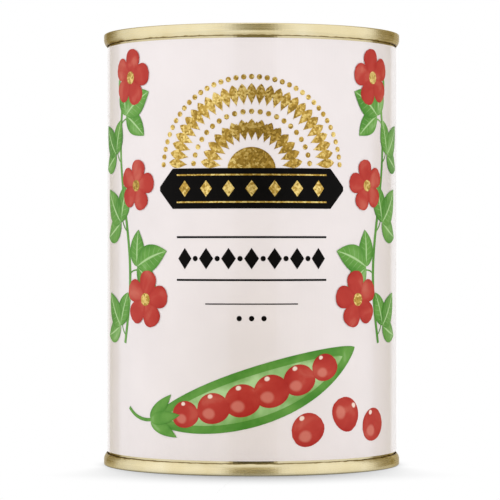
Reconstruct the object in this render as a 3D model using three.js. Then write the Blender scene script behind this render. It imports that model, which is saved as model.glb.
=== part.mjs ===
// A sealed 425 ml food can of beans, standing upright: a round tinplate body, full to the top,
// closed by a double-seamed lid at each end, with a paper label wrapped round it.
// Millimetres, +Z up. The origin is the centre of the circle that the can stands on.

import * as THREE from "three";

// Can body
const canHeight = 109.5;
const bodyRadius = 36.6;
const segments = 48;

// Double seam: the rolled hook that joins a lid to the body
const seamRadius = 37.7;
const seamHeight = 3;
const seamThickness = 1.3;
const lipReach = 1;
const lipHeight = 1.6;
const crownReach = 0.45;
const crownDrop = 0.6;

// Lid inside the seam: a leaning wall, a groove at its foot and a panel with stamped rings
const wallLean = 0.3;
const grooveDepth = 4.5;
const grooveRadius = 0.7;
const panelDepth = 3.1;
const panelCorner = 0.5;
const lidCover = 0.5;
const beadRadii = [30.4, 25.2, 15];
const beadHalfWidth = 1.9;
const beadHeight = 0.6;
const arcSteps = 2;
const beadSteps = 4;

// Paper label, a little clear of the body so that the two never share a face
const labelClearance = 0.1;
const paperThickness = 0.15;
const labelMargin = 3.55;

const lidDepth = grooveDepth + lidCover;

const goldLacquer = { color: 0xe0d3ab, metalness: 1, roughness: 0.3 };
const coatedPaper = { color: 0xefe8e7, metalness: 0, roughness: 0.55 };

// Turns a closed profile of radius and height round the upright axis
function turned(points) {
  return new THREE.LatheGeometry(points, segments).rotateX(Math.PI / 2);
}

function piece(name, geometry, finish) {
  const mesh = new THREE.Mesh(geometry, new THREE.MeshStandardMaterial(finish));
  mesh.name = name;
  return mesh;
}

// The full can wall between the two lids, solid with what it holds
function bodyGeometry() {
  const length = canHeight - 2 * lidDepth;
  return turned([
    new THREE.Vector2(0, 0),
    new THREE.Vector2(bodyRadius, 0),
    new THREE.Vector2(bodyRadius, length),
    new THREE.Vector2(0, length),
  ]);
}

// Outline of a lid from the axis underneath, out round the seam, and in along the top.
// Height 0 is the seam's crown, and the flat on the crown is what the can stands on.
function lidOutline() {
  const wallTop = seamRadius - seamThickness;
  const wallFoot = wallTop - wallLean;
  const grooveLevel = grooveRadius - grooveDepth;
  const panelEdge = wallFoot - 2 * grooveRadius;

  const seam = new THREE.Path();
  seam.moveTo(0, -lidDepth);
  seam.lineTo(bodyRadius, -lidDepth);
  seam.lineTo(bodyRadius, -seamHeight);
  seam.absellipse(seamRadius - lipReach, lipHeight - seamHeight, lipReach, lipHeight, -Math.PI / 2, 0);
  seam.absellipse(seamRadius - crownReach, -crownDrop, crownReach, crownDrop, 0, Math.PI / 2);
  seam.absellipse(wallTop + crownReach, -crownDrop, crownReach, crownDrop, Math.PI / 2, Math.PI);
  seam.absarc(wallFoot - grooveRadius, grooveLevel, grooveRadius, 0, -Math.PI, true);
  seam.absarc(panelEdge - panelCorner, -panelDepth - panelCorner, panelCorner, 0, Math.PI / 2);
  return [...seam.getPoints(arcSteps), ...beadOutline(), new THREE.Vector2(0, -panelDepth)];
}

// Raised rings of the panel, from the outermost inwards, each a smooth cosine swell
function beadOutline() {
  return beadRadii.flatMap((radius) =>
    Array.from({ length: beadSteps + 1 }, (_, step) => {
      const across = 1 - (2 * step) / beadSteps;
      const swell = (beadHeight * (1 + Math.cos(Math.PI * across))) / 2;
      return new THREE.Vector2(radius + beadHalfWidth * across, swell - panelDepth);
    }),
  );
}

// A tube of paper that stops short of each seam
function labelGeometry() {
  const inside = bodyRadius + labelClearance;
  const outside = inside + paperThickness;
  const height = canHeight - 2 * labelMargin;
  return turned([
    new THREE.Vector2(inside, 0),
    new THREE.Vector2(outside, 0),
    new THREE.Vector2(outside, height),
    new THREE.Vector2(inside, height),
    new THREE.Vector2(inside, 0),
  ]);
}

const body = piece("can_body", bodyGeometry(), goldLacquer);
body.position.z = lidDepth;

const lidGeometry = turned(lidOutline());
const topEnd = piece("top_end", lidGeometry, goldLacquer);
topEnd.position.z = canHeight;

// The lower lid is the same stamping turned over
const bottomEnd = piece("bottom_end", lidGeometry, goldLacquer);
bottomEnd.rotation.x = Math.PI;

const label = piece("paper_label", labelGeometry(), coatedPaper);
label.position.z = labelMargin;

const can = new THREE.Group();
can.add(body, topEnd, bottomEnd, label);

export default can;
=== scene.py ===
# %% [markdown]
# # A shut can of beans
# A steel can is three pieces of tinplate and one sheet of paper: a wall, two stamped lids rolled onto it,
# and a printed label. This lesson builds the metal, then the paper and the inks, and then sets up the
# studio. Everything round comes from two rules: metal is *turned* about the can's axis, and paper and ink
# are drawn *flat*, as a printer draws them, and then *rolled* round the can.

# %% The frame
import math

import bpy
import bmesh
import numpy as np
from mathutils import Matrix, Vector


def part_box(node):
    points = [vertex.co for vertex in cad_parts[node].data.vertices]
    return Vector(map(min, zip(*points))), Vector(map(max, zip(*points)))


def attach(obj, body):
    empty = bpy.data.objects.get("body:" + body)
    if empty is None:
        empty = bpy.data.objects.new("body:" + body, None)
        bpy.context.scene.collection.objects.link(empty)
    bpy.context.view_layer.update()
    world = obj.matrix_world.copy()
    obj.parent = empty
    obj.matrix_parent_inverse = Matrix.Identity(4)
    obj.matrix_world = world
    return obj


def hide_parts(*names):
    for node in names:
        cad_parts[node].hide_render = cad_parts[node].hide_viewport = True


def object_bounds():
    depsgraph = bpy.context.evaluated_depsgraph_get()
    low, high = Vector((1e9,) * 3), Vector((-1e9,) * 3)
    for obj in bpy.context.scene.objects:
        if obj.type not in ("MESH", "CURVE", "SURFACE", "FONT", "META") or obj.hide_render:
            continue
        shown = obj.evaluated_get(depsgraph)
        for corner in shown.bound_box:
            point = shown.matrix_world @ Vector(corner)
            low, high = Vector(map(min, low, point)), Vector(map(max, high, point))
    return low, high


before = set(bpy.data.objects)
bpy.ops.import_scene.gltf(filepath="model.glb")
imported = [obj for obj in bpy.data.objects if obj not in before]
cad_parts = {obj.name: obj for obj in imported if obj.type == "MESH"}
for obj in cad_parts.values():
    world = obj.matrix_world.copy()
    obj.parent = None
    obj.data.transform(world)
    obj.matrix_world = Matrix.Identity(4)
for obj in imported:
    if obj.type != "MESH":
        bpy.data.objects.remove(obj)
cad_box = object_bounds()
scene = bpy.context.scene
print("CAD nodes:", sorted(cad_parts))

# %% [markdown]
# ## Sizes
# The frame says how big each piece is, so only finer sizes are written in this script. Blender works in
# metres, and a can is easier to think about in millimetres, so one constant turns the second into the
# first.

# %% Sizes of the can
MM = 0.001
CAN_HEIGHT = cad_box[1].z
SEAM_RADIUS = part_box("top_end")[1].x
WALL_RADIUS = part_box("can_body")[1].x
LABEL_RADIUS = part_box("paper_label")[1].x
LABEL_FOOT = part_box("paper_label")[0].z
LABEL_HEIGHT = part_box("paper_label")[1].z - LABEL_FOOT
LID_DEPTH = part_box("bottom_end")[1].z
GIRTH = 2 * math.pi * LABEL_RADIUS

print(f"can {CAN_HEIGHT / MM:.1f} mm high, seam {2 * SEAM_RADIUS / MM:.1f} mm across")
print(f"label {GIRTH / MM:.1f} mm round and {LABEL_HEIGHT / MM:.1f} mm high")

# %% [markdown]
# ## Helpers for nodes
# Node trees are made of many nodes and links, and writing each by hand hides the idea. `add` places one
# node with its settings, and `fill` fills its sockets, by name from a dict or in order from a list: another
# node, or one of its outputs, is linked, and anything else is a plain value. A Map Range's list is the
# value, the range it comes from and the range it becomes. `linear` turns the hex colours that people write
# into the linear values that light needs, and `grade` gives such colours to a colour ramp.

# %% Nodes and colours
MATH, NOISE, RANGE, MIX, RAMP, COMBINE, SEPARATE = [
    "ShaderNode" + kind
    for kind in ("Math", "TexNoise", "MapRange", "Mix", "ValToRGB", "CombineXYZ", "SeparateXYZ")
]
COLOURS = {"data_type": "RGBA"}
SOFT_STEP = {"interpolation_type": "SMOOTHSTEP"}


def fill(node, inputs):
    """Fills sockets from a dict, or in order from a list; a node stands for its first output."""
    named = inputs if isinstance(inputs, dict) else dict(enumerate(inputs))
    for socket, value in named.items():
        source = value.outputs[0] if isinstance(value, bpy.types.Node) else value
        if isinstance(source, bpy.types.NodeSocket):
            node.id_data.links.new(source, node.inputs[socket])
        else:
            node.inputs[socket].default_value = source


def add(tree, kind, settings=None, inputs=None):
    """Adds a node with its settings, or only the name of its operation, and its inputs."""
    node = tree.nodes.new(kind)
    if isinstance(settings, str):
        settings = {"operation": settings}
    for name, value in (settings or {}).items():
        setattr(node, name, value)
    fill(node, inputs or {})
    return node


def linear(hex_colour):
    """Turns an sRGB hex colour such as D8C78C into linear red, green, blue and full alpha."""
    channels = [int(hex_colour[i:i + 2], 16) / 255 for i in (0, 2, 4)]
    bent = [c / 12.92 if c <= 0.04045 else ((c + 0.055) / 1.055) ** 2.4 for c in channels]
    return (*bent, 1.0)


def grade(ramp, stops):
    """Sets the stops of a colour ramp, given as hex colours by share from low to high."""
    elements = ramp.color_ramp.elements
    for k, (share, hex_colour) in enumerate(stops.items()):
        stop = elements[k] if k < 2 else elements.new(share)
        stop.position = share
        stop.color = linear(hex_colour)


# %% [markdown]
# A Geometry Nodes modifier is a recipe, not a shape. `geometry_tree` starts a recipe and `painted` ends it,
# and `smooth_shaded` lets light run softly over gentle bends and stop at sharp ones. `settled` runs the
# recipe once and keeps the outcome as an ordinary mesh, without a live modifier.

# %% Geometry trees
CREASE = math.radians(40)


def geometry_tree(name, sockets):
    """Starts a tree that takes geometry and the named inputs, and hands geometry out."""
    tree = bpy.data.node_groups.new(name, "GeometryNodeTree")
    for label, kind in {"Geometry": "Geometry", **sockets}.items():
        tree.interface.new_socket(label, in_out="INPUT", socket_type="NodeSocket" + kind)
    tree.interface.new_socket("Geometry", in_out="OUTPUT", socket_type="NodeSocketGeometry")
    return tree, add(tree, "NodeGroupInput").outputs


def smooth_shaded(tree, geometry):
    """Shades smooth where two faces meet at less than the crease angle."""
    bend = add(tree, "GeometryNodeInputMeshEdgeAngle").outputs["Unsigned Angle"]
    gentle = add(tree, MATH, "LESS_THAN", [bend, CREASE])
    return add(tree, "GeometryNodeSetShadeSmooth", {"domain": "EDGE"},
               {"Geometry": geometry, "Shade Smooth": gentle})


def painted(tree, geometry, material):
    """Ends a tree: makes instances real, sets the material and hands the geometry out."""
    real = add(tree, "GeometryNodeRealizeInstances", inputs={"Geometry": geometry})
    coated = add(tree, "GeometryNodeSetMaterial", inputs={"Geometry": real, "Material": material})
    add(tree, "NodeGroupOutput", inputs={"Geometry": coated})
    return tree


def settled(name, start, tree, sizes):
    """Runs a tree on a starting mesh and returns an object with the outcome as a plain mesh."""
    piece = bpy.data.objects.new(name, start)
    scene.collection.objects.link(piece)
    modifier = piece.modifiers.new("recipe", "NODES")
    modifier.node_group = tree
    for socket in tree.interface.items_tree:
        if socket.in_out == "INPUT" and socket.name in sizes:
            modifier[socket.identifier] = sizes[socket.name]
    graph = bpy.context.evaluated_depsgraph_get()
    mesh = bpy.data.meshes.new_from_object(
        piece.evaluated_get(graph), preserve_all_data_layers=True, depsgraph=graph
    )
    piece.modifiers.remove(modifier)
    piece.data = mesh
    mesh.name = name
    report(piece)
    return piece


def report(piece):
    """Prints a piece's triangle count and its closed volume, which is positive when faces point outwards."""
    shape = bmesh.new()
    shape.from_mesh(piece.data)
    open_edges = sum(not edge.is_manifold for edge in shape.edges)
    volume = shape.calc_volume(signed=True) / MM**3
    triangles = sum(len(face.verts) - 2 for face in shape.faces)
    shape.free()
    print(f"{piece.name}: {triangles} triangles, {volume:.1f} cubic mm, {open_edges} open edges")


# %% [markdown]
# ## Gold lacquered tinplate
# Food cans are rolled steel with a skin of tin, and this one has a clear yellow lacquer baked on. The metal
# gives the reflections, and the lacquer tints them gold, more deeply at glancing angles, where light runs a
# longer way through it. The seaming rollers leave faint lines and uneven gloss. A metallic Principled
# shader gives the tinted reflection, its specular tint the deeper one at a glance, and a thin coat the
# paler gloss of the lacquer itself. Along the hem, the seam's rolled-in edge, a dark, ragged line is painted
# where the mesh's `hem` attribute is high: painted shade for the crevice under the seam.

# %% Material of the metal
LACQUER_PATCH = 9 * MM
# Size of the ragged patches in the painted hem shade
HEM_SHADE_RAG = 2 * MM
ROLLER_LINE = 0.35 * MM
ROLLER_STRETCH = 60
SMOOTH_SHEET = 0.13
SHEET_MARGIN = 0.1 * MM


def finish(name):
    """Starts a material: gives it, its tree, its Principled shader and the piece's own coordinates."""
    material = bpy.data.materials.new(name)
    material.use_nodes = True
    tree = material.node_tree
    place = add(tree, "ShaderNodeTexCoord").outputs["Object"]
    return material, tree, tree.nodes["Principled BSDF"], place


def lacquered_tinplate():
    material, tree, shader, place = finish("Gold lacquered tinplate, rolled and stamped")

    # Lacquer runs a little thicker and thinner from patch to patch
    patches = add(tree, NOISE, inputs={"Vector": place, "Scale": 1 / LACQUER_PATCH, "Detail": 3.0})
    tint = add(tree, RAMP, inputs={"Fac": patches})
    grade(tint, {0.3: "DACB9F", 0.7: "E6DBB7"})

    # The rollers touch only the seam, which stands out from the wall, so the plain sheet inside it is
    # smoother.
    # Its colour is darkened a little there: painted shade for the gap between label and seam, also on the
    # panels
    level = add(tree, "ShaderNodeVectorMath", "MULTIPLY", [place, (1, 1, 0)])
    radius = add(tree, "ShaderNodeVectorMath", "LENGTH", [level]).outputs["Value"]
    plain = add(tree, MATH, "LESS_THAN", [radius, WALL_RADIUS + SHEET_MARGIN])
    lacquer_and_gap_shade = add(tree, MIX, {"data_type": "RGBA", "blend_type": "MULTIPLY"},
                  {0: plain, 6: tint, 7: linear("E6E6E6")})

    # The painted shade along the hem is ragged
    hem = add(tree, "ShaderNodeAttribute", {"attribute_name": "hem"}).outputs["Fac"]
    hem_rag = add(tree, NOISE, inputs={"Vector": place, "Scale": 1 / HEM_SHADE_RAG, "Detail": 2.0})
    ragged = add(tree, MATH, "MULTIPLY_ADD", [hem_rag, 0.5, hem])
    hem_shade = add(tree, RANGE, SOFT_STEP, [ragged, 1.02, 1.16, 0.0, 1.0])
    # Where the hem weight is high the colour turns dark brown: painted shade for the crevice under the seam
    colour = add(tree, MIX, COLOURS, {0: hem_shade, 6: lacquer_and_gap_shade.outputs[2], 7: linear("94804E")})

    # Roller lines lie round the can, far longer than they are high
    longer = (1 / ROLLER_STRETCH, 1 / ROLLER_STRETCH, 1.0)
    stretched = add(tree, "ShaderNodeMapping", inputs={"Vector": place, "Scale": longer})
    lines = add(tree, NOISE, inputs={"Vector": stretched, "Scale": 1 / ROLLER_LINE, "Detail": 4.0})
    gloss = add(tree, RANGE, inputs=[lines, 0.3, 0.7, 0.2, 0.34])
    roughness = add(tree, MIX, {"data_type": "FLOAT"}, {0: plain, 2: gloss, 3: SMOOTH_SHEET})
    relief = add(tree, "ShaderNodeBump", inputs={"Height": lines, "Strength": 0.12, "Distance": 0.02 * MM})

    fill(shader, {"Base Color": colour.outputs[2], "Roughness": roughness, "Normal": relief, "Metallic": 1.0,
                  "Specular Tint": linear("A89459"), "Coat Weight": 0.25, "Coat Roughness": 0.12})
    return material


TINPLATE = lacquered_tinplate()
print("made", TINPLATE.name)

# %% [markdown]
# ## Turning: the rule behind every round piece of metal
# A lathe needs only half a cross-section. Blender's Screw modifier or a bmesh spin would do it, but a tree
# says the rule outright: lay out a grid, read its first coordinate as an angle and its second as a step
# along the profile, and put each point at that radius and height. The seam's hem is pressed by rollers and
# is never quite true, so the profile's points carry the `hem` weight, which lets a little noise move them
# and is kept for the material.

# %% The turning tree
AROUND = 256
JOINED = 0.002 * MM
UNEVENNESS = 14.0


def turning_tree():
    tree, given = geometry_tree("Turned tinplate", {
        "Around": "Int", "Profile points": "Int", "Wrinkle": "Float", "Material": "Material",
    })
    columns = add(tree, MATH, "ADD", [given["Around"], 1.0])
    grid = add(tree, "GeometryNodeMeshGrid",
               inputs={"Vertices X": columns, "Vertices Y": given["Profile points"]})
    share = add(tree, SEPARATE, inputs=[grid.outputs["UV Map"]]).outputs
    angle = add(tree, MATH, "MULTIPLY", [share["X"], 2 * math.pi])
    last = add(tree, MATH, "SUBTRACT", [given["Profile points"], 1.0])
    step = add(tree, MATH, "MULTIPLY", [share["Y"], last])
    nearest = add(tree, MATH, "ROUND", [step])

    # Radius and height come from the profile's point, and so does the hem weight
    position = add(tree, "GeometryNodeInputPosition")
    weight = add(tree, "GeometryNodeInputNamedAttribute", {"data_type": "FLOAT"}, {"Name": "hem"})
    point, hem = [
        add(tree, "GeometryNodeSampleIndex", {"data_type": kind},
            {"Geometry": given["Geometry"], "Value": value, "Index": nearest})
        for kind, value in (("FLOAT_VECTOR", position), ("FLOAT", weight))
    ]
    profile = add(tree, SEPARATE, inputs=[point]).outputs

    # The noise reads a circle, so that it meets itself at the end of the turn
    cosine, sine = [add(tree, MATH, name, [angle]) for name in ("COSINE", "SINE")]
    circle = add(tree, COMBINE, inputs=[cosine, sine])
    uneven = add(tree, NOISE, inputs={"Vector": circle, "Scale": UNEVENNESS, "Detail": 3.0})
    centred = add(tree, MATH, "SUBTRACT", [uneven, 0.5])
    scaled = add(tree, MATH, "MULTIPLY", [centred, given["Wrinkle"]])
    height = add(tree, MATH, "MULTIPLY_ADD", [scaled, hem, profile["Z"]])

    east = add(tree, MATH, "MULTIPLY", [profile["X"], cosine])
    north = add(tree, MATH, "MULTIPLY", [profile["X"], sine])
    place = add(tree, COMBINE, inputs=[east, north, height])
    turned = add(tree, "GeometryNodeSetPosition", inputs={"Geometry": grid, "Position": place})
    marked = add(tree, "GeometryNodeStoreNamedAttribute", {"data_type": "FLOAT", "domain": "POINT"},
                 {"Geometry": turned, "Name": "hem", "Value": hem})
    joined = add(tree, "GeometryNodeMergeByDistance", inputs={"Geometry": marked, "Distance": JOINED})
    return painted(tree, smooth_shaded(tree, joined), given["Material"])


TURNING = turning_tree()


def turned(name, profile, wrinkle=0.0):
    """Turns a profile of (radius, height, hem weight) rows, in millimetres, into a piece of tinplate."""
    rows = np.array(profile)
    start = bpy.data.meshes.new(name + "_profile")
    points = [(radius * MM, 0, height * MM) for radius, height, _ in rows]
    start.from_pydata(points, [(i, i + 1) for i in range(len(rows) - 1)], [])
    start.attributes.new("hem", "FLOAT", "POINT").data.foreach_set("value", rows[:, 2])
    sizes = {"Around": AROUND, "Profile points": len(rows), "Wrinkle": wrinkle * MM, "Material": TINPLATE}
    return settled(name, start, TURNING, sizes)


# %% [markdown]
# ## The lids
# A lid is stamped from flat tinplate. Its edge is rolled together with the can wall into a double seam, the
# bright ring at the top and the bottom. The seam's outer face is upright, then leans in along a shallow
# curve to the hem, behind which a crevice runs up to where the sheets meet. Inside the seam a wall drops
# into a narrow groove, and the panel has rings pressed into it that let it bulge when the can is heated.
# Arcs describe the rolled parts, a parabola the lean and cosine swells the rings. Both lids are the same
# stamping, so one profile makes both, the lower one mirrored. A short stretch of the can's wall goes with
# each lid, because the two are rolled together.

# %% Profile of a lid
SEAM_HEIGHT = 3.0
SEAM_THICKNESS = 1.3
LEAN_START = 1.4
LEAN_ANGLE = math.radians(38)
HEM_RADIUS = 0.14
CREVICE_ROOF = 2.4
CROWN = (0.45, 0.35)
WALL_LEAN = 0.3
GROOVE_DEPTH = 4.5
GROOVE_RADIUS = 0.7
PANEL_DEPTH = 3.1
PANEL_CORNER = 0.5
BEAD_RADII = (30.4, 25.2, 15.0)
BEAD_HALF_WIDTH = 1.9
BEAD_HEIGHT = 0.6


def arc(centre, reach, start, stop, steps, weight=0.0):
    """Points along an ellipse, from one angle to another in degrees."""
    angles = np.radians(np.linspace(start, stop, steps + 1))
    return [(centre[0] + reach[0] * math.cos(a), centre[1] + reach[1] * math.sin(a), weight) for a in angles]


def run(start, stop, steps):
    """Points along a straight stretch, without its two ends."""
    shares = np.linspace(0, 1, steps + 1)[1:-1]
    return [(start[0] + (stop[0] - start[0]) * s, start[1] + (stop[1] - start[1]) * s, 0.0) for s in shares]


def lid_profile():
    """A lid from the axis underneath, out round the seam and in along the panel; height 0 is the crown."""
    seam, wall, depth = SEAM_RADIUS / MM, WALL_RADIUS / MM, LID_DEPTH / MM
    wall_top = seam - SEAM_THICKNESS
    wall_foot = wall_top - WALL_LEAN
    groove_level = GROOVE_RADIUS - GROOVE_DEPTH
    panel_edge = wall_foot - 2 * GROOVE_RADIUS

    lean_drop = SEAM_HEIGHT - HEM_RADIUS * (1 - math.sin(LEAN_ANGLE)) - LEAN_START
    lean_reach = lean_drop * math.tan(LEAN_ANGLE) / 2
    hem_centre = (seam - lean_reach - HEM_RADIUS * math.cos(LEAN_ANGLE), HEM_RADIUS - SEAM_HEIGHT)
    crevice = hem_centre[0] - HEM_RADIUS
    under = [(0, -depth, 0), (wall, -depth, 0), (wall, -CREVICE_ROOF, 0), (crevice, -CREVICE_ROOF, 0)]
    hem = arc(hem_centre, (HEM_RADIUS, HEM_RADIUS), -180, -math.degrees(LEAN_ANGLE), 8, 1.0)
    shares = np.linspace(1, 0, 13)[1:]
    lean = [(seam - lean_reach * t * t, -LEAN_START - lean_drop * t, t * t) for t in shares]
    outer = arc((seam - CROWN[0], -CROWN[1]), CROWN, 0, 90, 8)
    inner = arc((wall_top + CROWN[0], -CROWN[1]), CROWN, 90, 180, 8)
    groove = arc((wall_foot - GROOVE_RADIUS, groove_level), (GROOVE_RADIUS, GROOVE_RADIUS), 0, -180, 14)
    corner_centre = (panel_edge - PANEL_CORNER, -PANEL_DEPTH - PANEL_CORNER)
    corner = arc(corner_centre, (PANEL_CORNER, PANEL_CORNER), 0, 90, 6)
    face = run(lean[-1], outer[0], 4)
    chuck_wall = run(inner[-1], groove[0], 6)
    riser = run(groove[-1], corner[0], 3)

    beads = []
    for radius in BEAD_RADII:
        for across in np.linspace(1, -1, 15):
            swell = BEAD_HEIGHT * (1 + math.cos(math.pi * across)) / 2
            beads.append((radius + BEAD_HALF_WIDTH * across, swell - PANEL_DEPTH, 0))
    middle = [*run(beads[-1], (0, -PANEL_DEPTH), 5), (0, -PANEL_DEPTH, 0)]
    seam_ring = under + hem + lean + face + outer + inner
    return seam_ring + chuck_wall + groove + riser + corner + beads + middle


LID = lid_profile()
print(f"lid profile has {len(LID)} points")

# %% Both lids
SEAM_WRINKLE = 0.35
crown_level = CAN_HEIGHT / MM
top_lid = turned("top_lid", [(r, crown_level + z, w) for r, z, w in LID], SEAM_WRINKLE)
bottom_lid = turned("bottom_lid", [(r, -z, w) for r, z, w in reversed(LID)], SEAM_WRINKLE)

# %% [markdown]
# ## The wall
# The rest of the wall is one plain round strip. The label covers all of it, so a straight profile is
# enough.

# %% The can wall
wall_foot, wall_top = LID_DEPTH / MM, (CAN_HEIGHT - LID_DEPTH) / MM
wall_reach = WALL_RADIUS / MM
outline = [(0, wall_foot), (wall_reach, wall_foot), (wall_reach, wall_top), (0, wall_top)]
can_wall = turned("can_wall", [(r, z, 0) for r, z in outline])

# %% [markdown]
# ## Rolling: the rule behind paper and ink
# A label is printed flat and then rolled on. So everything on it is drawn on a flat board whose X runs
# round the can, whose Y runs up it and whose Z is height above the paper, in metres. One small tree bends
# the board: X becomes an angle, Z is added to the radius. It is a node group, so that the sheet and the
# inks share it.

# %% The rolling tree
def rolling_tree():
    tree, given = geometry_tree("Rolled on the can", {"Radius": "Float", "Foot": "Float"})
    flat = add(tree, "GeometryNodeInputPosition")
    board = add(tree, SEPARATE, inputs=[flat]).outputs
    angle = add(tree, MATH, "DIVIDE", [board["X"], given["Radius"]])
    reach = add(tree, MATH, "ADD", [board["Z"], given["Radius"]])
    cosine, sine = [add(tree, MATH, name, [angle]) for name in ("COSINE", "SINE")]
    inward = add(tree, MATH, "MULTIPLY", [reach, -1.0])
    east = add(tree, MATH, "MULTIPLY", [reach, sine])
    north = add(tree, MATH, "MULTIPLY", [inward, cosine])
    up = add(tree, MATH, "ADD", [board["Y"], given["Foot"]])
    place = add(tree, COMBINE, inputs=[east, north, up])
    rolled = add(tree, "GeometryNodeSetPosition", inputs={"Geometry": given["Geometry"], "Position": place})
    add(tree, "NodeGroupOutput", inputs={"Geometry": smooth_shaded(tree, rolled)})
    return tree


ROLLING = rolling_tree()
print("rolling tree has", len(ROLLING.nodes), "nodes")

# %% [markdown]
# ## Plates
# Paper and ink are both thin plates. `plate` builds one on the board from a spine and a half width: it
# walks along the spine, steps out to each side, and closes top, underside and rim. A leaf, a bean, a pod, a
# dot and a ruled line are all such plates with different spines and widths. Each point remembers where it
# is, `along` from 0 to 1 and `across` from -1 to 1, so that a finish can follow the shape.

# %% Flat plates
NUDGE = 1e-4


def plate(name, spine, half_width, steps, lanes, thickness, marks=None):
    """A closed flat plate in millimetres; spine and half_width take a share from 0 to 1 along it."""
    shares = np.linspace(0, 1, steps + 1)
    # Steps crowd towards pointed or round tips
    if half_width(0) == 0:
        shares = 0.5 * shares + 0.25 * (1 - np.cos(np.pi * shares))
    centre = np.array([spine(s) for s in shares])
    ahead = np.array([spine(min(s + NUDGE, 1)) for s in shares])
    behind = np.array([spine(max(s - NUDGE, 0)) for s in shares])
    heading = (ahead - behind) / np.abs(ahead - behind)
    sides = np.linspace(-1, 1, lanes + 1)
    reach = np.array([half_width(s) for s in shares])
    layer = centre[:, None] + 1j * heading[:, None] * reach[:, None] * sides[None, :]

    count = layer.size
    flat = np.column_stack([layer.real.ravel(), layer.imag.ravel()])
    top = np.column_stack([flat, np.full(count, thickness)])
    under = np.column_stack([flat, np.zeros(count)])
    index = np.arange(count).reshape(layer.shape)
    faces = []
    for i in range(steps):
        for j in range(lanes):
            a, b, c, d = index[i, j], index[i + 1, j], index[i + 1, j + 1], index[i, j + 1]
            faces += [(a, b, c, d), (count + d, count + c, count + b, count + a)]
    rim = [*index[:, 0], *index[-1, 1:], *index[-2::-1, -1], *index[0, -2:0:-1]]
    for a, b in zip(rim, rim[1:] + rim[:1]):
        faces.append((count + a, count + b, b, a))

    mesh = bpy.data.meshes.new(name)
    mesh.from_pydata(np.vstack([top, under]) * MM, [], faces)
    along, across = np.meshgrid(shares, sides, indexing="ij")
    for label, values in {"along": along, "across": across, **(marks or {})}.items():
        spread = np.broadcast_to(values, layer.shape).ravel()
        mesh.attributes.new(label, "FLOAT", "POINT").data.foreach_set("value", np.tile(spread, 2))
    close_tips(mesh)
    return mesh


def close_tips(mesh):
    """Joins points that fall together at a plate's tips and drops the faces that vanish there."""
    shape = bmesh.new()
    shape.from_mesh(mesh)
    bmesh.ops.remove_doubles(shape, verts=shape.verts, dist=JOINED)
    bmesh.ops.dissolve_degenerate(shape, edges=shape.edges, dist=JOINED)
    shape.to_mesh(mesh)
    shape.free()


# %% [markdown]
# ## Coated label paper
# Label paper is pulp with a clay coating and a clear varnish, so it is off-white, barely warm, softly
# glossy, and just uneven enough to catch the light. A single colour would look like plastic: a wide, weak
# noise stands for the coating's clouds and a fine one for the fibres below it, drawn at 0.4 mm, coarser
# than real fibres, so that they show at all. The shader's coat is the varnish, which mirrors the studio
# faintly near the can's sides.

# %% Material of the paper
CLOUD = 14 * MM
FIBRE = 0.4 * MM


def coated_paper():
    material, tree, shader, place = finish("Clay coated label paper, calendered and varnished")
    clouds = add(tree, NOISE, inputs={"Vector": place, "Scale": 1 / CLOUD, "Detail": 2.0})
    shade = add(tree, RAMP, inputs={"Fac": clouds})
    grade(shade, {0.3: "E3DBDB", 0.7: "E8E0E0"})
    fibres = add(tree, NOISE, inputs={"Vector": place, "Scale": 1 / FIBRE, "Detail": 3.0})
    relief = add(tree, "ShaderNodeBump", inputs={"Height": fibres, "Strength": 0.05, "Distance": 0.01 * MM})
    fill(shader, {"Base Color": shade, "Normal": relief, "Roughness": 0.45, "IOR": 1.48,
                  "Coat Weight": 1.0, "Coat Roughness": 0.14})
    return material


PAPER = coated_paper()
print("made", PAPER.name)

# %% [markdown]
# ## The label sheet
# The sheet is a little longer than the can is round. Its far end is glued over its near end, so on one side
# of the can there is a lap, one paper thickness high. On the board the sheet is one long plate, and its
# height rises just before the lap.

# %% The sheet
PAPER_THICKNESS = 0.13
GLUE = 0.01
LAP_CENTRE = 58.0
LAP_WIDTH = 9.0
LAP_RISE = 2.5


def label_board():
    girth, height = GIRTH / MM, LABEL_HEIGHT / MM
    lap_start = LAP_CENTRE - LAP_WIDTH / 2
    length = girth + LAP_WIDTH
    mesh = plate("label_board", spine=lambda s: lap_start - girth + length * s + 0.5j * height,
                 half_width=lambda s: height / 2, steps=260, lanes=16, thickness=PAPER_THICKNESS)
    for vertex in mesh.vertices:
        share = min(max((vertex.co.x - lap_start * MM) / (LAP_RISE * MM) + 1, 0), 1)
        lift = share * share * (3 - 2 * share)
        vertex.co.z += ((lift - 1) * PAPER_THICKNESS + lift * GLUE) * MM
    return mesh


ROLLED_SOCKETS = {"Radius": "Float", "Foot": "Float", "Material": "Material"}
ROLLED_SIZES = {"Radius": LABEL_RADIUS, "Foot": LABEL_FOOT}


def sheet_tree():
    tree, given = geometry_tree("Sheet on the can", ROLLED_SOCKETS)
    rolled = add(tree, "GeometryNodeGroup", {"node_tree": ROLLING},
                 {name: given[name] for name in ("Geometry", "Radius", "Foot")})
    return painted(tree, rolled, given["Material"])


label = settled("label_sheet", label_board(), sheet_tree(), {**ROLLED_SIZES, "Material": PAPER})

# %% [markdown]
# ## Printing inks
# Offset inks are thin and barely glossy, and the picture was painted in watercolour, so colour pools at the
# edge of each shape and clouds inside it. The materials read the plates' own `along` and `across` and a
# `tone` that each placed shape carries, so no two beans or leaves are quite alike. Leaves get a pale midrib
# and side veins, beans a pale eye and a soft light patch, on the plates that are marked `leaf` or `bean`.

# %% Materials of the watercolour inks
INK_CLOUD = 7 * MM
INK_GLOSS = 0.15


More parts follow.
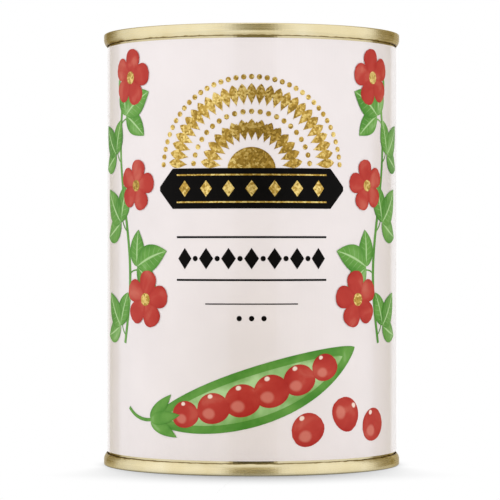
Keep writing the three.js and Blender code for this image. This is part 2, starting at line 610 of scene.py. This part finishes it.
def watercolour(name, pooled, middle, washed, mark, details):
    """A painted ink: tone, clouds and nearness to the edge set its colour, and details go on top."""
    material, tree, shader, place = finish(name)
    along, across, tone, marked = [
        add(tree, "ShaderNodeAttribute", {"attribute_name": label}).outputs["Fac"]
        for label in ("along", "across", "tone", mark)
    ]
    clouds = add(tree, NOISE,
                 inputs={"Vector": place, "Scale": 1 / INK_CLOUD, "Detail": 3.0, "Distortion": 0.6})
    edge = add(tree, MATH, "ABSOLUTE", [across])
    pool = add(tree, RANGE, inputs=[edge, 0.55, 1.0, 0.0, -0.22])
    wash = add(tree, RANGE, inputs=[clouds, 0.3, 0.7, -0.3, 0.3])
    toned = add(tree, MATH, "ADD", [tone, wash])
    depth = add(tree, MATH, "ADD", [toned, pool])
    ramp = add(tree, RAMP, inputs={"Fac": depth})
    grade(ramp, {0.0: pooled, 0.5: middle, 1.0: washed})
    colour = details(tree, ramp, along, across, marked)
    fill(shader, {"Base Color": colour, "Roughness": 0.45, "Specular IOR Level": INK_GLOSS})
    return material


# %% Leaf veins and bean eyes
SIDE_VEINS = 7.0
VEIN_SWEEP = -0.16


def leaf_veins(tree, colour, along, across, leaf):
    """Draws a pale midrib and side veins on plates that are marked as leaves."""
    edge = add(tree, MATH, "ABSOLUTE", [across])
    midrib = add(tree, RANGE, inputs=[edge, 0.05, 0.11, 1.0, 0.0])
    swept = add(tree, MATH, "MULTIPLY_ADD", [edge, VEIN_SWEEP, along])
    ladder = add(tree, MATH, "MULTIPLY", [swept, SIDE_VEINS])
    saw = add(tree, MATH, "FRACT", [ladder])
    rung = add(tree, RANGE, inputs=[saw, 0.0, 0.14, 0.6, 0.0])
    faded = add(tree, RANGE, inputs=[edge, 0.5, 0.9, 1.0, 0.0])
    side = add(tree, MATH, "MULTIPLY", [rung, faded])
    veins = add(tree, MATH, "MAXIMUM", [midrib, side])
    drawn = add(tree, MATH, "MULTIPLY", [veins, leaf])
    return add(tree, MIX, COLOURS, {0: drawn, 6: colour, 7: linear("A9CC8F")}).outputs[2]


def bean_eyes(tree, colour, along, across, bean):
    """Paints a soft light patch on a bean's back, and its pale eye on the hollow side."""
    spot = add(tree, COMBINE, inputs=[along, across])
    for (x, y), (half_long, half_wide), strength, hex_colour in (
        ((0.34, -0.3), (0.2, 0.42), 0.55, "DB8A79"),
        ((0.5, 0.8), (0.1, 0.16), 1.0, "F0D9CC"),
    ):
        local = add(tree, "ShaderNodeMapping",
                    inputs={"Vector": spot, "Location": (-x / half_long, -y / half_wide, 0),
                            "Scale": (1 / half_long, 1 / half_wide, 1)})
        far = add(tree, "ShaderNodeVectorMath", "LENGTH", [local]).outputs["Value"]
        cover = add(tree, RANGE, SOFT_STEP, [far, 0.6, 1.1, strength, 0.0])
        shown = add(tree, MATH, "MULTIPLY", [cover, bean])
        colour = add(tree, MIX, COLOURS, {0: shown, 6: colour, 7: linear(hex_colour)}).outputs[2]
    return colour


RED_INK = watercolour("Red ink, watercolour printed on coated paper", pooled="A5211B", middle="B63A30",
                      washed="CB6D5B", mark="bean", details=bean_eyes)
GREEN_INK = watercolour("Green ink, watercolour printed on coated paper", pooled="46842B", middle="679D45",
                        washed="AED094", mark="leaf", details=leaf_veins)
print("made", RED_INK.name, "and", GREEN_INK.name)

# %% [markdown]
# Gold foil is a real metal film, stamped on hot. This one is a glitter foil: flakes of about half a
# millimetre that each lean another way, so some flash and some are dark. Voronoi cells give each flake its
# own tilt, and its own colour from dark to pale gold, which paints that flash and darkness in as well. The
# black is a dense, matt ink with a faint mottle where the paper drank more of it.

# %% Gold foil and black ink
FLAKE = 0.5 * MM
FOIL_SWEEP = 16 * MM
BLACK_MOTTLE = 1.5 * MM
BLACK_GLOSS = 0.05


def glitter_foil():
    material, tree, shader, place = finish("Gold glitter foil, hot stamped")
    flakes = add(tree, "ShaderNodeTexVoronoi", inputs={"Vector": place, "Scale": 1 / FLAKE})
    sweep = add(tree, NOISE, inputs={"Vector": place, "Scale": 1 / FOIL_SWEEP, "Detail": 2.0})
    flake = add(tree, SEPARATE, inputs=[flakes.outputs["Color"]]).outputs
    # Each flake's colour, dark or pale gold, is painted flash on top of its real tilt from the bump; the
    # sweep mottles it
    bright = add(tree, MATH, "MULTIPLY_ADD", [flake["X"], 0.5, sweep])
    ramp = add(tree, RAMP, inputs={"Fac": bright})
    grade(ramp, {0.45: "8C6D22", 0.72: "B8933C", 1.0: "ECD282"})
    relief = add(tree, "ShaderNodeBump",
                 inputs={"Height": flake["Y"], "Strength": 0.35, "Distance": 0.02 * MM})
    fill(shader, {"Base Color": ramp, "Normal": relief, "Metallic": 0.7, "Roughness": 0.36})
    return material


def black_ink():
    material, tree, shader, place = finish("Black ink, offset printed")
    mottle = add(tree, NOISE, inputs={"Vector": place, "Scale": 1 / BLACK_MOTTLE, "Detail": 4.0})
    ramp = add(tree, RAMP, inputs={"Fac": mottle})
    grade(ramp, {0.0: "040303", 1.0: "0C0A09"})
    fill(shader, {"Base Color": ramp, "Roughness": 0.4, "Specular IOR Level": BLACK_GLOSS})
    return material


GOLD_FOIL = glitter_foil()
BLACK_INK = black_ink()
print("made", GOLD_FOIL.name, "and", BLACK_INK.name)

# %% [markdown]
# ## The motifs
# Each motif is one small plate on the board, with its root or its middle at the origin, along X. Complex
# numbers make short work of plane curves: multiplying by `exp(i * angle)` turns a point, and the integral
# of a turning heading is an arc. Widths are simple rules, such as a blunt power curve for a bean and a
# pointed one for a leaf.

# %% Spines and widths
CURL_STEPS = 60


def bow(length, turn):
    """A circular arc that starts at the origin along X and turns by so many degrees over its length."""
    bend = math.radians(turn) or 1e-9
    return lambda s: length / (1j * bend) * (np.exp(1j * bend * s) - 1)


def curl(length, tightness):
    """A tendril: an arc whose turning grows towards its tip, summed in short steps."""
    def point(s):
        heading = np.exp(1j * tightness * np.linspace(0, s, CURL_STEPS) ** 2)
        return length * s * complex(np.mean((heading[1:] + heading[:-1]) / 2))
    return point


def sway(length, swing):
    """A vine that swings once to each side as it runs along X."""
    return lambda s: length * s + 1j * swing * math.sin(2 * math.pi * s)


def centred(spine):
    """Moves a spine so that its middle is at the origin and heads along X there."""
    heading = spine(0.501) - spine(0.499)
    return lambda s: (spine(s) - spine(0.5)) * abs(heading) / heading


def blunt(half, power):
    """Full in the middle and round at both ends; a power of 2 is an ellipse."""
    return lambda s: half * max(1 - abs(2 * s - 1) ** power, 0) ** (1 / power)


def pointed(half, fullest, tip=1.0):
    """Tapers to both ends and is widest at the given share; a tip below 1 is a round one."""
    root = tip * fullest / (1 - fullest)
    peak = fullest**root * (1 - fullest) ** tip
    return lambda s: half * max(s, 0) ** root * max(1 - s, 0) ** tip / peak


def even(half):
    """The same width all along."""
    return lambda s: half


def hexagonal(end, half, corner):
    """Straight sides that widen from each end until the share at its corner."""
    return lambda s: end + (half - end) * min(1, (0.5 - abs(s - 0.5)) / corner)


# %% The drawing of each motif
INK = 0.02
HANDS = {"right": 1, "left": -1}
POD_LENGTH, POD_TURN, POD_MOUTH = 58, 22, 0.84
VINE_LENGTH, VINE_SWING = 66, 2.4


def motifs(rows):
    """Draws motifs, each given as spine, width, steps, lanes and, for some, marks for the material."""
    drawings = {}
    for name, (spine, width, steps, lanes, *marks) in rows.items():
        mesh = plate("motif_" + name, spine, width, steps, lanes, INK, *marks)
        drawings[name] = bpy.data.objects.new(mesh.name, mesh)
    return drawings


def pod_mouth(s):
    """The middle stretch of the pod's own spine, where it has split open."""
    return bow(POD_LENGTH, POD_TURN)(0.5 + (s - 0.5) * POD_MOUTH)


def straight(length):
    """A straight spine about the origin."""
    return centred(bow(length, 0))


GREEN = motifs({
    "pod": (bow(POD_LENGTH, POD_TURN), pointed(7.0, 0.5, 0.8), 48, 10),
    "mouth": (pod_mouth, pointed(5.1, 0.5, 0.8), 44, 8),
    "sepal": (bow(9, 0), pointed(1.7, 0.35), 12, 6),
})
for hand, sign in HANDS.items():
    GREEN |= motifs({
        "leaflet_" + hand: (bow(12, sign * 18), pointed(3.7, 0.42), 18, 10, {"leaf": 1.0}),
        "vine_" + hand: (sway(VINE_LENGTH, sign * VINE_SWING), even(0.5), 64, 2),
        "stalk_" + hand: (bow(9, sign * 50), even(0.42), 12, 2),
        "tendril_" + hand: (curl(20, sign * 8.0), pointed(0.5, 0.3), 48, 2),
    })
RED = motifs({
    "bean": (centred(bow(8.8, 24)), blunt(4.0, 2.1), 14, 10, {"bean": 1.0}),
    "blossom_petal": (bow(7.2, 0), pointed(2.8, 0.66, 0.5), 14, 8),
})
BLACK = motifs({
    "plaque": (straight(48), hexagonal(0.5, 4.9, 0.08), 50, 8),
    "rule": (straight(38), even(0.24), 36, 1),
    "lozenge": (straight(3.6), hexagonal(0.0, 2.6, 0.5), 6, 6),
    "dot": (straight(1.3), blunt(0.65, 2), 8, 4),
})
GOLD = motifs({
    "sun": (straight(12), blunt(6, 2), 24, 12),
    "ray": (bow(5.2, 0), pointed(1.15, 0.6), 8, 4),
    "small_ray": (bow(2.8, 0), pointed(0.62, 0.55), 6, 4),
    "bead": (straight(1.3), blunt(0.65, 2), 8, 4),
    "gold_rule": (straight(38), even(0.18), 34, 1),
    "gold_lozenge": (straight(3.0), hexagonal(0.0, 2.0, 0.5), 6, 4),
})
for ink in (GREEN, RED, GOLD, BLACK):
    print({name: len(drawn.data.polygons) for name, drawn in ink.items()})

# %% [markdown]
# ## A print run
# A print run takes points on the board, sets one motif on each, turns and sizes it, and rolls the lot onto
# the can. Instance on Points is made for this: the points carry `motif`, `turn`, `size` and `tone` as
# attributes, their height is the ink's layer, and the tree reads them. Realize Instances then makes one
# mesh for each ink.

# %% The print run tree
def print_tree():
    tree, given = geometry_tree("Print run", {"Motifs": "Collection", **ROLLED_SOCKETS})
    read = {
        name: add(tree, "GeometryNodeInputNamedAttribute", {"data_type": kind}, {"Name": name})
        for name, kind in {"motif": "INT", "turn": "FLOAT", "size": "FLOAT"}.items()
    }
    drawings = add(tree, "GeometryNodeCollectionInfo", {"transform_space": "ORIGINAL"},
                   {"Collection": given["Motifs"], "Separate Children": True, "Reset Children": True})
    turn = add(tree, COMBINE, inputs={"Z": read["turn"]})
    rotation = add(tree, "FunctionNodeEulerToRotation", inputs=[turn])
    size = add(tree, COMBINE, inputs=[read["size"], read["size"], 1.0])
    placed = add(tree, "GeometryNodeInstanceOnPoints",
                 inputs={"Points": given["Geometry"], "Instance": drawings, "Pick Instance": True,
                         "Instance Index": read["motif"], "Rotation": rotation, "Scale": size})
    real = add(tree, "GeometryNodeRealizeInstances", inputs={"Geometry": placed})
    rolled = add(tree, "GeometryNodeGroup", {"node_tree": ROLLING},
                 {"Geometry": real, "Radius": given["Radius"], "Foot": given["Foot"]})
    return painted(tree, rolled, given["Material"])


PRINT = print_tree()


def print_run(name, ink, drawings, marks):
    """Prints marks of (motif, place, turn in degrees, size, tone, lift in mm) in one ink."""
    shelf = bpy.data.collections.new(name + "_motifs")
    names = sorted(drawings)
    for drawn in names:
        shelf.objects.link(drawings[drawn])
    motifs, places, turns, sizes, tones, lifts = zip(*marks)
    points = bpy.data.meshes.new(name + "_points")
    points.from_pydata([(p.real * MM, p.imag * MM, lift * MM) for p, lift in zip(places, lifts)], [], [])
    picked = [names.index(drawn) for drawn in motifs]
    points.attributes.new("motif", "INT", "POINT").data.foreach_set("value", picked)
    for label, column in {"turn": np.radians(turns), "size": sizes, "tone": tones}.items():
        points.attributes.new(label, "FLOAT", "POINT").data.foreach_set("value", column)
    return settled(name, points, PRINT, {"Motifs": shelf, **ROLLED_SIZES, "Material": ink})


# %% [markdown]
# ## The picture on the label
# The picture is a simple country one: a gold sunburst over a black plaque, ruled lines below it, an open
# pod across the foot, and at each side a climbing vine with three-part leaves and red blossoms. Places are
# complex numbers in millimetres, X from the middle of the face and Y from the label's foot. The label has
# two like faces, front and back: `lone` sets a mark once on each, and `pair` sets it and its mirror image.

# %% Setting marks
DICE = np.random.default_rng(7)
TONE_SPREAD = 0.1
FACES = (0.0, GIRTH / MM / 2)
INK_LAYER = 0.03
marks = {"green": [], "red": [], "gold": [], "black": []}


def lone(ink, name, place, turn=0.0, size=1.0, tone=0.5, layer=1):
    """Sets one mark on each face; tone varies a little from mark to mark."""
    for face in FACES:
        varied = tone + DICE.uniform(-TONE_SPREAD, TONE_SPREAD)
        marks[ink].append((name, face + place, turn, size, varied, layer * INK_LAYER))


def handed(place, turn, sign):
    """A place and a direction as they are, or mirrored in the middle of the face if the sign is -1."""
    return complex(sign * place.real, place.imag), 90 + sign * (turn - 90)


def pair(ink, name, place, turn=0.0, size=1.0, tone=0.5, layer=1):
    """Sets a mark and its mirror image on each face."""
    for hand, sign in HANDS.items():
        lone(ink, f"{name}_{hand}", *handed(place, turn, sign), size, tone, layer)


# %% Gold sunburst
SUN = 70j
SUN_RINGS = (
    ("ray", 7.6, 15), ("small_ray", 9.4, 14), ("bead", 14.6, 21), ("ray", 16.2, 27), ("bead", 23.0, 37),
)

lone("gold", "sun", SUN)
for name, radius, count in SUN_RINGS:
    for outward in np.linspace(0, 180, count + 2)[1:-1]:
        turn = 0.0 if name == "bead" else outward
        lone("gold", name, SUN + radius * np.exp(1j * math.radians(outward)), turn)
print(len(marks["gold"]), "gold marks in the sunburst")

# %% Plaque and ruled lines
PLAQUE, PLAQUE_RULE = 66j, 3.3j
ROW, ROW_RULE, ROW_PITCH, ROW_STEPS = 49j, 5.2j, 5.6, range(-3, 4)
SHORT_RULE, SHORT_SHARE = 38j, 0.6
DOT_ROW, DOT_PITCH = 34.5j, 3

lone("black", "plaque", PLAQUE, layer=2)
for rise in (PLAQUE_RULE, -PLAQUE_RULE):
    lone("gold", "gold_rule", PLAQUE + rise, layer=3)
for k in ROW_STEPS:
    lone("gold", "gold_lozenge", PLAQUE + ROW_PITCH * k, layer=3)

for rise in (ROW_RULE, -ROW_RULE):
    lone("black", "rule", ROW + rise)
for k in ROW_STEPS:
    lone("black", "lozenge", ROW + ROW_PITCH * k)
for k in ROW_STEPS[:-1]:
    lone("black", "dot", ROW + ROW_PITCH * (k + 0.5))
lone("black", "rule", SHORT_RULE, size=SHORT_SHARE)
for k in (-1, 0, 1):
    lone("black", "dot", DOT_ROW + DOT_PITCH * k)
print(len(marks["black"]), "black marks")

# %% The open pod and loose beans
POD_ROOT, POD_HEADING = -27 + 9.5j, 7
POD_BEANS, BEAN_PITCH, BEAN_TAPER = 6, 0.128, 0.03
SEPALS = ((-34, 4), (2, 5), (38, 4))
LOOSE_BEANS = ((14 + 7.5j, 30), (25 + 11j, -50), (35 + 8j, 20))
along_pod = bow(POD_LENGTH, POD_TURN)
to_board = np.exp(1j * math.radians(POD_HEADING))

lone("green", "pod", POD_ROOT, POD_HEADING, tone=0.3, layer=2)
lone("green", "mouth", POD_ROOT, POD_HEADING, tone=1.0, layer=3)
for k in np.arange(POD_BEANS) - (POD_BEANS - 1) / 2:
    s = 0.5 + BEAN_PITCH * k
    fit = 1 - BEAN_TAPER * k * k
    lone("red", "bean", POD_ROOT + along_pod(s) * to_board, POD_HEADING + POD_TURN * s, fit, 0.4, layer=4)
for lean, layer in SEPALS:
    lone("green", "sepal", POD_ROOT, POD_HEADING + lean, tone=0.4, layer=layer)
lone("green", "stalk_left", POD_ROOT, POD_HEADING + 180, tone=0.4, layer=2)
for place, turn in LOOSE_BEANS:
    lone("red", "bean", place, turn, tone=0.45)

# %% Vines with leaves and blossoms
VINE_ROOT, VINE_HEADING = 37.5 + 28j, 90
LEAF_STALK, STALK_LEAN, STALK_SHARE = 4, 10, 0.45
LEAFLETS = ((-66, 0.85, 3), (66, 0.85, 3), (0, 1.0, 4))
LEAVES = ((0.03, 40, 0.9), (0.26, 150, 0.9), (0.42, 35, 1.0), (0.68, 35, 0.9), (0.82, 140, 0.9))
BLOSSOMS = ((0.12, -7 + 3j, 1.0), (0.56, -6 + 2j, 0.9), (0.98, -3 + 1j, 1.0))
BLOSSOM_TURN, PETALS, BLOSSOM_EYE = 100, 5, 2.4
TENDRIL_ROOT, TENDRIL_HEADING = 0.9, 60
along_vine = sway(VINE_LENGTH, VINE_SWING)


def on_vine(share):
    return VINE_ROOT + along_vine(share) * np.exp(1j * math.radians(VINE_HEADING))


def trefoil(place, heading, size):
    """A bean leaf: a short stalk, and three leaflets that meet at its end."""
    joint = place + LEAF_STALK * size * np.exp(1j * math.radians(heading))
    for lean, share, layer in LEAFLETS:
        pair("green", "leaflet", joint, heading + lean, share * size, 0.4, layer)
    pair("green", "stalk", place, heading - STALK_LEAN, STALK_SHARE * size, 0.35, layer=2)


def blossom(place, size):
    """Round petals about a gold eye, and their mirror image."""
    for sign in HANDS.values():
        centre, turn = handed(place, BLOSSOM_TURN, sign)
        for k in range(PETALS):
            lone("red", "blossom_petal", centre, turn + 360 / PETALS * k, size, 0.5, layer=5)
        lone("gold", "bead", centre, size=BLOSSOM_EYE * size, layer=6)


pair("green", "vine", VINE_ROOT, VINE_HEADING, tone=0.35)
for share, heading, size in LEAVES:
    trefoil(on_vine(share), heading, size)
for share, offset, size in BLOSSOMS:
    blossom(on_vine(share) + offset, size)
pair("green", "tendril", on_vine(TENDRIL_ROOT), TENDRIL_HEADING, tone=0.35)
print(len(marks["green"]), "green marks,", len(marks["red"]), "red marks")

# %% Printing
INKS = {
    "green": (GREEN_INK, GREEN),
    "red": (RED_INK, RED),
    "gold": (GOLD_FOIL, GOLD),
    "black": (BLACK_INK, BLACK),
}
prints = [
    print_run("print_" + colour, ink, drawings, marks[colour])
    for colour, (ink, drawings) in INKS.items()
]

# %% [markdown]
# ## What stands for what
# Each piece replaces the plain solid that held its place and rides on the can's one body. The inks lie on
# the label and ride with it.

# %% Pieces take their places
for piece, node, slot in (
    (can_wall, "can_body", "gold_lacquer"),
    (top_lid, "top_end", "gold_lacquer"),
    (bottom_lid, "bottom_end", "gold_lacquer"),
    (label, "paper_label", "label_paper"),
    *((ink, None, "label_paper") for ink in prints),
):
    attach(piece, "root")
    if node:
        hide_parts(node)

# %% [markdown]
# ## The studio
# Shiny cans are photographed in a light tent: white all round, so that the metal has something pale to
# mirror. To the camera the tent and its floor are plain white. Light meets the floor only on a small table
# and reflections only round the can's foot, and from below it is clear, so that the can's underside is lit
# and can be seen. The soft shadow is drawn with the Ambient Occlusion node, which darkens a point by how
# much of the can stands near it. That node is told to look back at the can, so the shadow falls forward.

# %% Floor
TABLE_RADIUS = 0.3
MIRRORED_RADIUS = 0.042
FLOOR_RADIUS = 40.0
SHADOW_LIMIT = 0.08
SHADOW_FRONT, SHADOW_BACK = -0.035, -0.01
SHADOW_LONGEST, SHADOW_SHORTEST = 0.028, 0.004
LOOK_BACK = (0.0, 0.86, 0.5)
FULLY_HIDDEN, DEEPEST_SHADE = 0.56, 0.2


def white_paper():
    """Paper that is white to the camera, with a soft shadow in front of the can, and clear from below."""
    material, tree, shader, place = finish("White studio paper")
    fill(shader, {"Base Color": (0.8, 0.8, 0.8, 1), "Roughness": 0.9, "Specular IOR Level": 0.0,
                  "Emission Color": (1, 1, 1, 1), "Emission Strength": 0.2})
    ray = add(tree, "ShaderNodeLightPath").outputs
    away = add(tree, "ShaderNodeVectorMath", "LENGTH", [place]).outputs["Value"]
    table = add(tree, MATH, "MULTIPLY_ADD",
                [ray["Is Glossy Ray"], MIRRORED_RADIUS - TABLE_RADIUS, TABLE_RADIUS])
    extent = add(tree, MATH, "MULTIPLY_ADD", [ray["Is Camera Ray"], FLOOR_RADIUS, table])
    beyond = add(tree, MATH, "GREATER_THAN", [away, extent])

    # The shadow reaches further in front of the can than at its sides
    depth = add(tree, SEPARATE, inputs=[place]).outputs["Y"]
    reach = add(tree, RANGE, inputs=[depth, SHADOW_FRONT, SHADOW_BACK, SHADOW_LONGEST, SHADOW_SHORTEST])
    backward = add(tree, COMBINE, inputs=LOOK_BACK)
    openness = add(tree, "ShaderNodeAmbientOcclusion", inputs={"Distance": reach, "Normal": backward})
    hidden = add(tree, MATH, "SUBTRACT", [1.0, openness.outputs["AO"]])
    squared = add(tree, MATH, "POWER", [hidden, 2.0])
    lit = add(tree, RANGE, inputs=[squared, 0.0, FULLY_HIDDEN, 1.0, DEEPEST_SHADE])
    unshaded = add(tree, MATH, "GREATER_THAN", [away, SHADOW_LIMIT])
    whiteness = add(tree, MATH, "MAXIMUM", [lit, unshaded])
    white = add(tree, "ShaderNodeEmission", inputs={"Strength": whiteness})

    clear = add(tree, "ShaderNodeBsdfTransparent")
    seen = add(tree, MATH, "MAXIMUM", [ray["Is Camera Ray"], ray["Is Glossy Ray"]])
    from_below = add(tree, "ShaderNodeNewGeometry").outputs["Backfacing"]
    sheet = shader
    for share, other in ((seen, white), (beyond, clear), (from_below, clear)):
        sheet = add(tree, "ShaderNodeMixShader", inputs=[share, sheet, other])
    fill(tree.nodes["Material Output"], {"Surface": sheet})
    return material


def staged(name, mesh, material):
    """Links a piece of the studio, which is no part of the can."""
    mesh.materials.append(material)
    thing = bpy.data.objects.new(name, mesh)
    scene.collection.objects.link(thing)
    return thing


disc = bmesh.new()
bmesh.ops.create_circle(disc, cap_ends=True, radius=FLOOR_RADIUS, segments=64)
floor = bpy.data.meshes.new("floor")
disc.to_mesh(floor)
disc.free()
staged("floor", floor, white_paper())
print("floor is laid")

# %% [markdown]
# ## Flags and softboxes
# Grey cards, which photographers call flags, stand behind the camera, just in front of the can and behind
# it at both sides. They give each seam its darker middle and ends and the paper its darker sides and foot,
# which makes both look round. A flag that does not shade is seen only in reflections. Two softboxes make
# the tent brighter at the left and the right, and one above lights the front without being mirrored in the
# metal. The camera sees none.

# %% Flags
def flag(name, depth, left, right, foot, top, grey, shades=True):
    """An upright card across the Y axis, seen in reflections, and by the paper's soft light if it shades."""
    mesh = bpy.data.meshes.new(name)
    corners = [(left, foot), (right, foot), (right, top), (left, top)]
    mesh.from_pydata([(x, depth, z) for x, z in corners], [], [(0, 1, 2, 3)])
    material = bpy.data.materials.new("Grey card")
    material.use_nodes = True
    fill(material.node_tree.nodes["Principled BSDF"], {"Base Color": linear(grey)})
    card = staged(name, mesh, material)
    card.visible_camera = False
    card.visible_diffuse = shades


flag("flag_camera", depth=-1.1, left=-0.24, right=0.38, foot=-0.25, top=0.7, grey="958D68", shades=False)
flag("flag_near", depth=-0.09, left=-0.023, right=0.026, foot=-0.02, top=0.045, grey="D8CFAA")
flag("flag_foot", depth=-0.0895, left=-0.018, right=0.022, foot=-0.0035, top=0.0025, grey="443F2C",
     shades=False)
flag("flag_back_left", depth=0.6, left=-0.78, right=-0.32, foot=-0.4, top=1.4, grey="A39670")
flag("flag_back_right", depth=0.6, left=0.43, right=1.6, foot=-0.4, top=1.4, grey="A39670")

# %% Softboxes and tent
TENT = 1.03
SIDE_PANEL = (2.2, 1.2)
OVERHEAD_PANEL = (1.0, 0.6)


def softbox(name, place, facing, size, power, mirrored=True):
    """A panel of light that faces along a direction, and is mirrored in the metal or not."""
    lamp = bpy.data.lights.new(name, "AREA")
    lamp.shape = "RECTANGLE"
    lamp.size, lamp.size_y = size
    lamp.energy = power
    box = bpy.data.objects.new(name, lamp)
    box.location = place
    box.rotation_euler = Vector(facing).to_track_quat("-Z", "Y").to_euler()
    box.visible_camera = False
    box.visible_glossy = mirrored
    scene.collection.objects.link(box)


softbox("softbox_left", (-0.75, -0.96, 0.3), (1, 0, 0), SIDE_PANEL, power=1.1)
softbox("softbox_right", (0.75, -0.96, 0.3), (-1, 0, 0), SIDE_PANEL, power=1.0)
softbox("softbox_above", (0, -0.8, 0.9), (0, 0.8, -0.85), OVERHEAD_PANEL, power=1.0, mirrored=False)

world = bpy.data.worlds.new("studio")
scene.world = world
world.use_nodes = True
sky = world.node_tree
tent = sky.nodes["Background"]
fill(tent, {"Color": (1, 1, 1, 1), "Strength": TENT})
to_camera = add(sky, "ShaderNodeLightPath").outputs["Is Camera Ray"]
white = add(sky, "ShaderNodeBackground", inputs={"Color": (1, 1, 1, 1), "Strength": 1.0})
either = add(sky, "ShaderNodeMixShader", inputs=[to_camera, tent, white])
fill(sky.nodes["World Output"], {"Surface": either})
scene.view_settings.view_transform = "Standard"
print("studio is lit")

# %% [markdown]
# ## The camera
# The photograph looks level at the middle of the can from about two thirds of a metre with a long lens,
# which shows in how little the rims curve. The can stands a pixel and a half to the right of the middle and
# half a pixel above it, which is a small shift of the lens.

# %% Camera
IMAGE = 500
SENSOR = 36
CAMERA_DISTANCE = 0.66
PIXELS_PER_METRE = 3908
PIXELS_RIGHT, PIXELS_UP = 1.6, 0.5

lens = bpy.data.cameras.new("camera")
lens.sensor_width = SENSOR
lens.lens = SENSOR * PIXELS_PER_METRE * CAMERA_DISTANCE / IMAGE
lens.shift_x = -PIXELS_RIGHT / IMAGE
lens.shift_y = -PIXELS_UP / IMAGE
camera = bpy.data.objects.new("camera", lens)
camera.location = (0, -CAMERA_DISTANCE, CAN_HEIGHT / 2)
camera.rotation_euler = (math.radians(90), 0, 0)
scene.collection.objects.link(camera)
scene.camera = camera
print(f"lens {lens.lens:.0f} mm at {CAMERA_DISTANCE} m")
